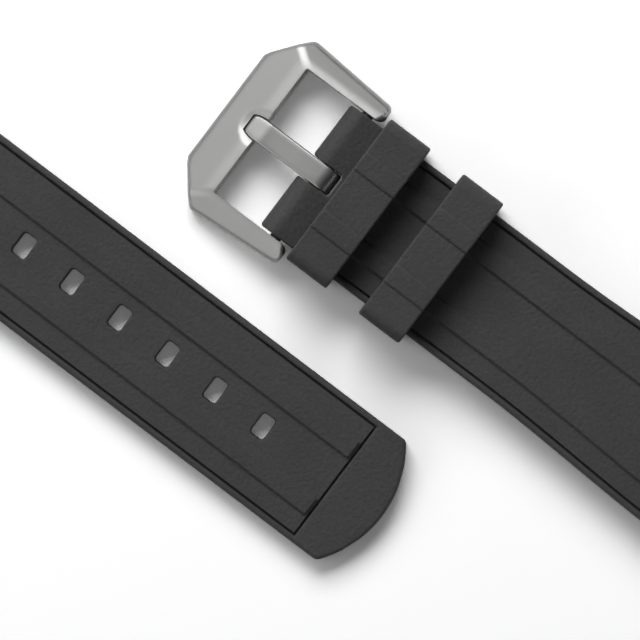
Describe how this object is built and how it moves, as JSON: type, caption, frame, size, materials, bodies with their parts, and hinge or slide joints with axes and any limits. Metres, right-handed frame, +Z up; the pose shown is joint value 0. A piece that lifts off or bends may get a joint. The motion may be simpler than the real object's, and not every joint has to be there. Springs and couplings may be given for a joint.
{
  "type": "rubber watch strap",
  "caption": "Ribbed rubber watch strap in two halves, with a steel pin buckle, a fixed and a sliding keeper, and sprung bars in the buckle and lug ends.",
  "frame": {"origin": "on the surface that the strap lies on, under the middle of the whole part", "axes": "+X along the buckle half from the buckle to its lug end, +Y across the band from the tail half towards the buckle half, +Z up out of the ribbed face"},
  "size_m": [0.1612, 0.0572, 0.0102],
  "materials": {
    "rubber": "matt moulded",
    "buckle_steel": "satin",
    "bar_steel": "drawn"
  },
  "bodies": {
    "buckle_half": {"buckle_strap": "rubber", "fixed_keeper": "rubber", "pivot_bar_tube": "bar_steel", "pivot_bar_spring": "bar_steel", "buckle_lug_bar_tube": "bar_steel", "buckle_lug_bar_spring": "bar_steel"},
    "frame": {"buckle_frame": "buckle_steel"},
    "tang": {"buckle_tang": "buckle_steel"},
    "sliding_keeper": {"sliding_keeper": "rubber"},
    "tail_half": {"tail_strap": "rubber", "tail_lug_bar_tube": "bar_steel", "tail_lug_bar_spring": "bar_steel"},
    "pivot_tip_left": {"pivot_bar_tip_left": "bar_steel"},
    "pivot_tip_right": {"pivot_bar_tip_right": "bar_steel"},
    "buckle_lug_tip_left": {"buckle_lug_bar_tip_left": "bar_steel"},
    "buckle_lug_tip_right": {"buckle_lug_bar_tip_right": "bar_steel"},
    "tail_lug_tip_left": {"tail_lug_bar_tip_left": "bar_steel"},
    "tail_lug_tip_right": {"tail_lug_bar_tip_right": "bar_steel"}
  },
  "joints": [
    {"name": "frame_hinge", "type": "hinge", "parent": "buckle_half", "child": "frame", "pos_m": [0.0056, 0.01455, 0.0037], "axis": [0, 1, 0], "range_deg": [-80, 45]},
    {"name": "tang_hinge", "type": "hinge", "parent": "frame", "child": "tang", "pos_m": [0.0056, 0.01455, 0.0037], "axis": [0, 1, 0], "range_deg": [0, 55]},
    {"name": "keeper_slide", "type": "slide", "parent": "buckle_half", "child": "sliding_keeper", "axis": [1, 0, 0], "range_m": [-0.005, 0.0115]},
    {"name": "tail_lift", "type": "slide", "parent": "buckle_half", "child": "tail_half", "axis": [0, 0, 1], "range_m": [0, 0.03]},
    {"name": "pivot_tip_left_slide", "type": "slide", "parent": "buckle_half", "child": "pivot_tip_left", "axis": [0, -1, 0], "range_m": [0, 0.001], "stiffness_N_per_m": 500, "springref_m": -0.001, "deforming": ["pivot_bar_spring"]},
    {"name": "pivot_tip_right_slide", "type": "slide", "parent": "buckle_half", "child": "pivot_tip_right", "axis": [0, 1, 0], "range_m": [0, 0.001], "stiffness_N_per_m": 500, "springref_m": -0.001, "deforming": ["pivot_bar_spring"]},
    {"name": "buckle_lug_tip_left_slide", "type": "slide", "parent": "buckle_half", "child": "buckle_lug_tip_left", "axis": [0, -1, 0], "range_m": [0, 0.001], "stiffness_N_per_m": 500, "springref_m": -0.001, "deforming": ["buckle_lug_bar_spring"]},
    {"name": "buckle_lug_tip_right_slide", "type": "slide", "parent": "buckle_half", "child": "buckle_lug_tip_right", "axis": [0, 1, 0], "range_m": [0, 0.001], "stiffness_N_per_m": 500, "springref_m": -0.001, "deforming": ["buckle_lug_bar_spring"]},
    {"name": "tail_lug_tip_left_slide", "type": "slide", "parent": "tail_half", "child": "tail_lug_tip_left", "axis": [0, -1, 0], "range_m": [0, 0.001], "stiffness_N_per_m": 500, "springref_m": -0.001, "deforming": ["tail_lug_bar_spring"]},
    {"name": "tail_lug_tip_right_slide", "type": "slide", "parent": "tail_half", "child": "tail_lug_tip_right", "axis": [0, 1, 0], "range_m": [0, 0.001], "stiffness_N_per_m": 500, "springref_m": -0.001, "deforming": ["tail_lug_bar_spring"]}
  ]
}
